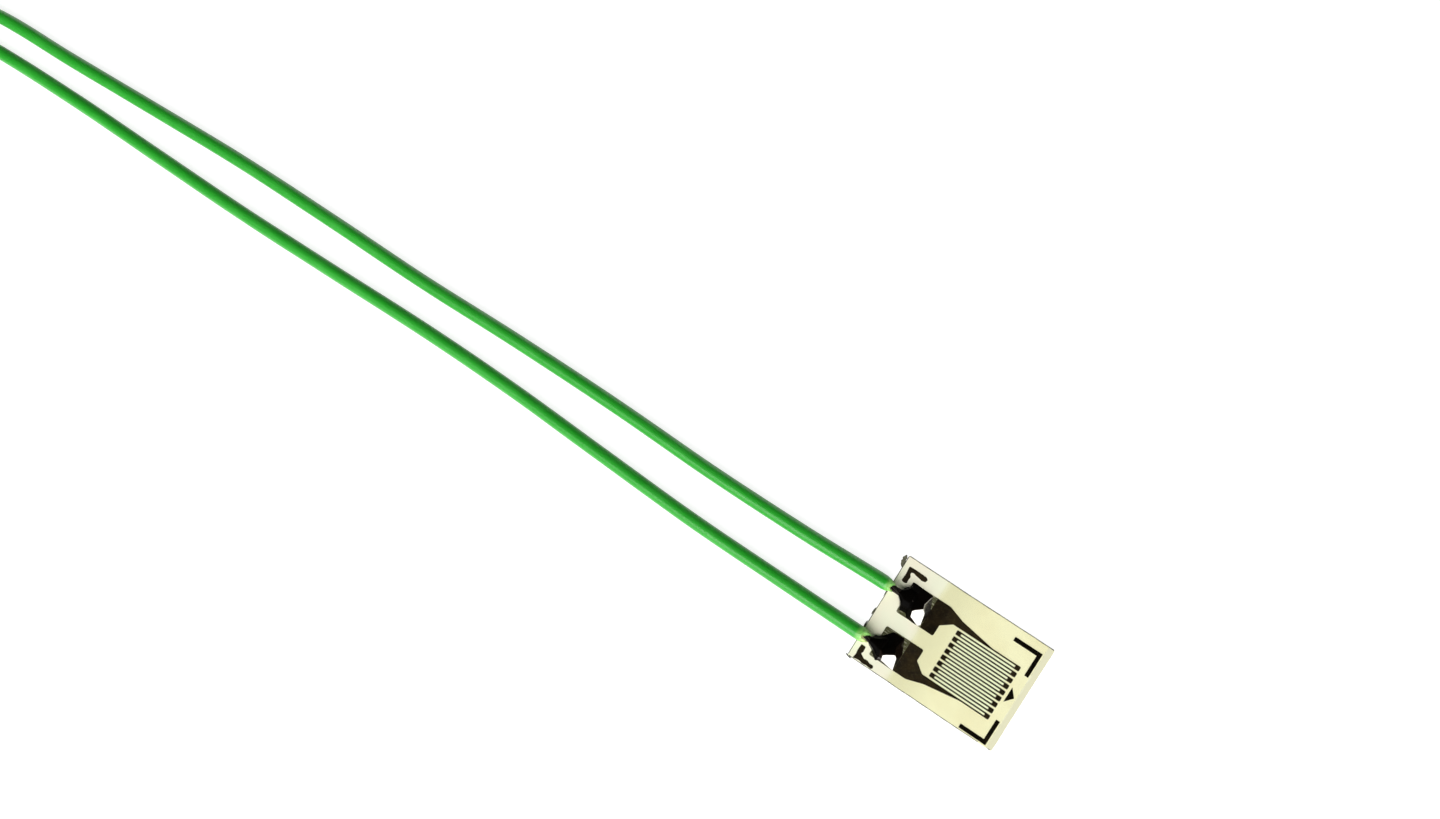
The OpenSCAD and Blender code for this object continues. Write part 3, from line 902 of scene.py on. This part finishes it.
def foil_material(name, bare_to_x):
    """Etched foil, bare and brushed up to this x in millimetres, and painted dark beyond it as a
    painted dark reflection.
    """
    material, tree = new_material(name)
    place = coordinates(tree)
    tones = noise_share(tree, TONE_MM, 4, 0.6)
    speckle = noise_share(tree, SPECKLE_MM, 2)
    tone_share = ramp(tree, tones, 0.35, 0.65, smooth=False)
    # Painted dark reflection: the brown black stands in for the dark room that the metal mirrors
    painted_dark_foil = blend_colours(tree, tone_share, FOIL_REFLECTION_DARK, FOIL_REFLECTION_BROWN)
    olive_share = ramp(tree, speckle, 0.52, 0.72, 0, 0.45, smooth=False)
    painted_dark_foil = blend_colours(tree, olive_share, painted_dark_foil, FOIL_REFLECTION_OLIVE)
    # Brush streaks, long one way and narrow the other
    brushed = stretched(tree, place, (1 / (STREAK_LEN * MM), 1 / (STREAK_W * MM), 1),
                        math.radians(STREAK_DEGREES))
    streak_share = ramp(tree, noise_share(tree, None, 3, 0.5, brushed), 0.5, 0.68)
    bare = blend_colours(tree, streak_share, FOIL_BARE, FOIL_STREAK)
    bare_share = ramp(tree, split(tree, place)["X"], (bare_to_x - 0.01) * MM, bare_to_x * MM,
                      1, 0, smooth=False)
    surface(tree, {
        "Base Color": blend_colours(tree, bare_share, painted_dark_foil, bare), "Metallic": 0.5,
        "Roughness": rough(tree, bare_share, 0.55, 0.38),
        "Normal": bumps(tree, speckle, 0.25, 0.001), "Specular IOR Level": 0.2})
    return material


foil_grid = foil_material("etched_constantan_foil", BARE_TO_X)
foil_mark = foil_material("etched_constantan_marks", -CARRIER_LEN)

# %% [markdown]
# ## Foil and cover film from the frame
#
# The etched grid, the marks under the cover film and the cover film itself are flat, exact
# shapes, so the frame's own nodes stay and only get their finish.

# %% Finishes for the frame's nodes
FRAME_FINISHES = {"measuring_grid": foil_grid, "corner_mark_3": foil_mark,
                  "corner_mark_4": foil_mark, "end_mark": foil_mark, "cover_film": cover_clear}
for node_name, material in FRAME_FINISHES.items():
    node_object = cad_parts[node_name]
    node_object.data.materials.clear()
    node_object.data.materials.append(material)
print("finished nodes:", ", ".join(FRAME_FINISHES))

# %% [markdown]
# The two corner marks at the lead end are not under the cover film. Etching has eaten into them:
# their ends are rounded, their inner corners hollow and their edges uneven. Each is one flat
# outline, its corners rounded and its face pulled up to the foil's thickness.

# %% Modelling the ragged corner marks
FOIL_T = 0.01
MARK_ROUND = 0.03
RAGGED_MARKS = {
    1: [(-3.44, 2.12), (-3.12, 2.14), (-2.56, 2.12), (-2.46, 2.05), (-2.50, 1.92), (-2.65, 1.88),
        (-2.84, 1.92), (-3.02, 1.94), (-3.14, 1.98), (-3.24, 1.93), (-3.23, 1.84), (-3.16, 1.77),
        (-3.18, 1.60), (-3.16, 1.44), (-3.30, 1.41), (-3.43, 1.44), (-3.41, 1.72)],
    2: [(-3.44, -2.47), (-3.30, -2.44), (-3.13, -2.42), (-2.95, -2.46), (-2.78, -2.43),
        (-2.62, -2.45), (-2.50, -2.46), (-2.44, -2.37), (-2.50, -2.28), (-2.66, -2.29),
        (-2.84, -2.23), (-2.98, -2.26), (-3.11, -2.19), (-3.21, -2.13), (-3.17, -2.00),
        (-3.19, -1.79), (-3.41, -1.78), (-3.43, -2.05), (-3.40, -2.28)],
}
for number, outline in RAGGED_MARKS.items():
    mark = new_piece("mark", [(x, y, CARRIER_T) for x, y in outline], (), [range(len(outline))])
    edit_all(mark)
    bpy.ops.mesh.bevel(offset=MARK_ROUND, segments=3, affect="VERTICES")
    bpy.ops.mesh.select_all(action="SELECT")
    bpy.ops.mesh.extrude_region_move(TRANSFORM_OT_translate={"value": (0, 0, FOIL_T)})
    leave_outwards()
    finish_piece(mark, f"ragged_mark_{number}", [foil_mark],
                 [f"corner_mark_{number}"])

# %% [markdown]
# ## Burrs on the cut edge
#
# The blade left a curled shred of film on one corner, a crumb beside it, and smaller burrs on the
# lead end's edge and on the opposite corner. They are painted dark, painted shade for the shaded
# curled flakes. Each starts as a fine grid, narrowed to both ends, curled up along one side and
# thickened.

# %% Modelling the burrs
# Painted shade: these dark greys stand in for the shade on the curled burrs
BURR_SHADE_DARK = "#26261C"
BURR_SHADE_PALE = "#77765E"
BURR_SHADE_MM = 0.07
shaded_torn_film, tree = new_material("painted_shade_torn_film")
burr_shade = blend_colours(tree, noise_share(tree, BURR_SHADE_MM, 4), BURR_SHADE_DARK, BURR_SHADE_PALE)
surface(tree, {"Base Color": burr_shade, "Roughness": 0.75})

# Middle x and y, half width, half length, turn in degrees, height of the curl
BURRS = ((-3.79, 2.2, 0.085, 0.27, 6, 0.11), (-3.69, 1.93, 0.035, 0.08, 60, 0.03),
         (-3.74, -0.31, 0.034, 0.18, -3, 0.04), (-3.745, -0.98, 0.03, 0.18, 2, 0.04),
         (-3.64, -2.515, 0.03, 0.16, 74, 0.03), (-3.73, 0.75, 0.016, 0.3, 0, 0.03))
BURR_T = 0.012
for number, (x, y, half_w, half_l, turn, curl) in enumerate(BURRS, start=1):
    deselect_all()
    bpy.ops.mesh.primitive_grid_add(x_subdivisions=8, y_subdivisions=24, size=2)
    piece = bpy.context.object
    for vertex in piece.data.vertices:
        u, v, _ = vertex.co
        uneven = 1 + 0.5 * noise.noise(Vector((u, 3 * v, number)))
        narrowed = max(0.08, 1 - v * v) ** 0.6 * uneven
        bent = 0.3 * half_w * noise.noise(Vector((0, 1.7 * v, number + 5)))
        vertex.co = (u * half_w * narrowed + bent, v * half_l,
                     curl * ((1 - u) / 2) ** 2 * narrowed + 0.3 * CARRIER_T)
    apply_modifier(piece, "SOLIDIFY", thickness=BURR_T, offset=0)
    shade_smooth(50)
    piece.data.transform(Matrix.Translation((x, y, 0))
                         @ Matrix.Rotation(math.radians(turn), 4, "Z"))
    finish_piece(piece, f"film_burr_{number}", [shaded_torn_film])

# %% [markdown]
# ## Finish: solder
#
# Freshly frozen tin solder is a smooth grey mirror. On these joints only the side that leans
# towards the lamp is bare metal, and there it shows the lamp as a white patch. The rest is a
# painted dark reflection: a glossy coat painted nearly black in place of the dark surroundings
# that the mirror would show, and brownish where it ends on the bare metal.

# %% Solder material
TIN_BRIGHT = "#B8B6B0"
TIN_CLOUDY = "#8E8B84"
# Colours of the painted dark reflection that covers the solder where it is not bare metal
PAINTED_REFLECTION_BLACK = "#050403"
PAINTED_REFLECTION_BROWN = "#241A12"
SOLDER_PATCH_MM = 0.3
PAINTED_COAT_GLOSS = 0.015

solder_tin, tree = new_material("frozen_solder_with_painted_dark_coat")
bare_metal_share = add_node(tree, "Attribute", attribute_name="bare_metal_share").outputs["Fac"]
patches = noise_share(tree, SOLDER_PATCH_MM, 2)
bare = ramp(tree, maths(tree, "MULTIPLY_ADD", patches, 0.9, bare_metal_share), 0.9, 1.1)
gloss = {"Roughness": ramp(tree, patches, 0.3, 0.7, 0.1, 0.24, smooth=False),
         "Normal": bumps(tree, patches, 0.3, 0.004)}
metal = principled(tree, {
    "Base Color": blend_colours(tree, patches, TIN_BRIGHT, TIN_CLOUDY), "Metallic": 1.0, **gloss})
# The nearly black coat is painted dark reflection, standing in for the dark surroundings that the
# solder mirrors
painted_reflection_coat = principled(tree, {
    "Base Color": blend_colours(tree, bare_metal_share, PAINTED_REFLECTION_BLACK, PAINTED_REFLECTION_BROWN),
    "Specular IOR Level": PAINTED_COAT_GLOSS, **gloss})
surface(tree, add_node(tree, "MixShader", {0: bare, 1: painted_reflection_coat, 2: metal}).outputs[0])

# %% [markdown]
# ## The solder joints
#
# Each joint is a low hill of solder round the conductor. Frozen solder has flat facets that meet
# in soft ridges, and a hollow foot where it wets the foil and the wire. So the hill is described
# by a few facets, each with a foot, a direction and a steepness, and by a collar round the wire.
# The smallest of the facets' heights, softly blended, gives the hill, and the collar is blended
# on. A fine grid of points is lifted to that height, pulled down to a floor, and the flat of the
# foil cuts off what lies below it. Each facet also says how much of it is bare metal rather than
# painted dark reflection, and the same blend of these shares is kept on the mesh as an attribute,
# for the finish to read.

# %% Modelling the solder joints
FOIL_TOP = 0.06
GRID_SIZE = 1.65
GRID_STEP = 0.0125
SUNK = 0.03
HILL_TOP = 0.4
HILL_SOFTNESS = 0.016
COLLAR_FROM_X = -3.12
COLLAR_LEN = 0.62
COLLAR_REACH = 0.44
COLLAR_FALL = 0.9
WIRE_COAT = 0.012
FLOOR_CUT = 0.002


def soft_least(heights, softness):
    """Smooth minimum of several height fields, and the share that each has in it."""
    weights = [np.exp(-h / softness) for h in heights]
    total = sum(weights)
    return -softness * np.log(total), [w / total for w in weights]


def facet_height(x, y, facet):
    """Height of a facet that rises from its foot point, away from the way it faces."""
    foot_x, foot_y, faces_degrees, tilt_degrees, _ = facet
    faces = math.radians(faces_degrees)
    inwards = -((x - foot_x) * math.cos(faces) + (y - foot_y) * math.sin(faces))
    return inwards * math.tan(math.radians(tilt_degrees))


def solder_hill(x, y, number):
    """Height of a joint above the foil, and how much of it is bare metal there, not painted dark
    reflection.
    """
    facets = JOINTS[number]["facets"]
    heights = [facet_height(x, y, facet) for facet in facets]
    hill, shares = soft_least(heights + [np.full_like(x, HILL_TOP)], HILL_SOFTNESS)
    bare_metal_share = sum(share * facet[4] for share, facet in zip(shares, facets))
    wire_x, wire_y, _ = ROUTES[number][0]
    share = (x - wire_x) / (CORE_TIP_X - wire_x)
    from_start = np.clip(x - COLLAR_FROM_X, 0, None)
    middle = (RAISED_Z - FOIL_TOP + share * (CORE_TIP_Z - RAISED_Z)
              - COLLAR_FALL * np.clip(from_start - COLLAR_LEN, 0, None))
    wire_r = CORE_D / 2 + WIRE_COAT
    flare = JOINTS[number]["flare"]
    spread = np.minimum(wire_r + flare * from_start ** 1.5, COLLAR_REACH)
    across = (y - wire_y) / spread
    collar = middle + wire_r * np.where(
        np.abs(across) < 1, np.sqrt(np.clip(1 - across**2, 0, 1)), -3 * (np.abs(across) - 1))
    collar = np.where(x < COLLAR_FROM_X, -1, collar)
    lower, (of_hill, _) = soft_least([-hill, -collar], HILL_SOFTNESS)
    return -lower, bare_metal_share * of_hill


# Facets: foot x, foot y, compass direction and steepness in degrees, share of bare metal that is
# not painted dark reflection
JOINTS = {
    1: {"grid_from": (-3.25, 0.1), "flare": 1.8,
        "facets": [(-1.80, 0.20, -50, 33, 1.0), (-1.67, 0.60, -4, 73, 0.6),
                   (-1.64, 1.00, 22, 60, 0.85), (-2.30, 1.63, 88, 40, 0.1),
                   (-2.93, 1.30, 182, 34, 0.0), (-2.60, 0.45, -139, 46, 0.0),
                   (-2.20, 0.19, -92, 55, 0.3)]},
    2: {"grid_from": (-3.25, -2.1), "flare": 0.7,
        "facets": [(-1.70, -2.00, -57, 32, 1.0), (-1.67, -1.60, 0, 77, 0.6),
                   (-1.66, -1.22, 25, 62, 0.42), (-2.20, -0.57, 92, 40, 0.1),
                   (-2.72, -0.85, 142, 34, 0.0), (-2.72, -1.90, 230, 40, 0.5),
                   (-2.20, -1.98, -92, 69, 0.3)]},
}
for number, joint in JOINTS.items():
    x0, y0 = joint["grid_from"]
    steps = round(GRID_SIZE / GRID_STEP)
    deselect_all()
    bpy.ops.mesh.primitive_grid_add(x_subdivisions=steps, y_subdivisions=steps, size=1,
                                    location=(x0 + GRID_SIZE / 2, y0 + GRID_SIZE / 2, 0))
    piece = bpy.context.object
    piece.scale = (GRID_SIZE, GRID_SIZE, 1)
    bpy.ops.object.transform_apply()
    places = np.empty(len(piece.data.vertices) * 3)
    piece.data.vertices.foreach_get("co", places)
    places = places.reshape(-1, 3)
    height, bare_metal_share = solder_hill(places[:, 0], places[:, 1], number)
    places[:, 2] = FOIL_TOP + np.clip(height, -SUNK, None)
    piece.data.vertices.foreach_set("co", places.ravel())
    shares = piece.data.attributes.new("bare_metal_share", "FLOAT", "POINT")
    shares.data.foreach_set("value", bare_metal_share.astype(np.float32))
    edit_all(piece)
    bpy.ops.mesh.bisect(plane_co=(0, 0, FOIL_TOP - FLOOR_CUT), plane_no=(0, 0, 1),
                        clear_inner=True, use_fill=True)
    leave_outwards()
    shade_smooth(60)
    finish_piece(piece, f"solder_hill_{number}", [solder_tin],
                 [f"solder_joint_{number}"])

# %% [markdown]
# ## Floor, world and lamps
#
# The gauge lies on a white board. To the camera and to mirrors the board is nearly plain white and
# keeps only a faint shadow, as in the photograph. The sky of the studio is dark overhead, where
# the camera and the room are, so the solder's level top mirrors darkness. Near the horizon a
# white backdrop is seen, and the lamp's side is pale. One large soft lamp stands low at the side
# that the photograph was lit from, and a weak one fills from beyond the gauge's far end. Together
# they light a level surface about as brightly as its colour is written.

# %% Floor
FLOOR_SIZE = 8.0
FLOOR_DROP = 0.001 * MM
BOARD_LIGHTS = "#F6F6F6"
BOARD_SEEN = "#A8A8A8"
SEEN_WHITE = 0.86
bpy.ops.mesh.primitive_plane_add(size=FLOOR_SIZE, location=(0, 0, -FLOOR_DROP))
floor = bpy.context.object
floor.name = "floor"


def seen_share(tree):
    """1 where the camera, a mirror or a clear film looks, and 0 for light on its way."""
    rays = add_node(tree, "LightPath").outputs
    seen = maths(tree, "MAXIMUM", rays["Is Camera Ray"], rays["Is Glossy Ray"])
    return maths(tree, "MAXIMUM", seen, rays["Is Transmission Ray"])


board, tree = new_material("white_board")
seen = seen_share(tree)
surface(tree, {
    "Base Color": blend_colours(tree, seen, BOARD_LIGHTS, BOARD_SEEN), "Roughness": 0.9,
    "Specular IOR Level": 0.0, "Emission Color": WHITE,
    "Emission Strength": maths(tree, "MULTIPLY", seen, SEEN_WHITE)})
floor.data.materials.append(board)

# %% World
HORIZON_LEVEL = 0.5
HORIZON_UNTIL = 0.1
DARK_FROM = 0.45
DARK_LEVEL = 0.02
LAMP_SIDE_Y = (-0.5, 0.2)
FAR_SIDE_SHARE = 0.12
BACKDROP_UNTIL = 0.2
BACKDROP_FADE = 0.1
world = bpy.data.worlds.new("studio")
bpy.context.scene.world = world
world.use_nodes = True
tree = world.node_tree
tree.nodes.clear()
axes = split(tree, coordinates(tree, "Generated"))
low = ramp(tree, axes["Z"], HORIZON_UNTIL, DARK_FROM, HORIZON_LEVEL, 0)
lamp_side = ramp(tree, axes["Y"], *LAMP_SIDE_Y, 1, FAR_SIDE_SHARE)
level = maths(tree, "ADD", maths(tree, "MULTIPLY", low, lamp_side), DARK_LEVEL)
backdrop = ramp(tree, axes["Z"], BACKDROP_UNTIL, BACKDROP_UNTIL + BACKDROP_FADE, 1, 0)
backdrop = maths(tree, "MULTIPLY", backdrop, seen_share(tree))
level = maths(tree, "MAXIMUM", level, backdrop)
sky = add_node(tree, "Background", {"Color": WHITE, "Strength": level}).outputs[0]
surface(tree, sky, "World")

# %% Lamps
LIT_PLACE = Vector((-20, 0, 0)) * MM
# Compass direction and height in degrees, distance, width and height in metres, watts
LAMPS = {"key_lamp": (-68, 43, 0.8, 1.0, 0.8, 11.2), "fill_lamp": (-5, 48, 0.9, 0.5, 0.5, 1.4)}


def soft_lamp(name, direction, lift, distance, width, height, watts):
    """A soft box that stands in a compass direction from the gauge and looks at it."""
    turn, lift = math.radians(direction), math.radians(lift)
    away = Vector((math.cos(turn) * math.cos(lift), math.sin(turn) * math.cos(lift),
                   math.sin(lift)))
    data = bpy.data.lights.new(name, "AREA")
    data.shape = "RECTANGLE"
    data.size, data.size_y, data.energy = width, height, watts
    lamp = bpy.data.objects.new(name, data)
    lamp.matrix_world = (Matrix.Translation(LIT_PLACE + away * distance)
                         @ away.to_track_quat("Z", "Y").to_matrix().to_4x4())
    lamp.visible_camera = False
    bpy.context.scene.collection.objects.link(lamp)
    print(name, "stands at", [round(v, 3) for v in lamp.location])


for name, values in LAMPS.items():
    soft_lamp(name, *values)
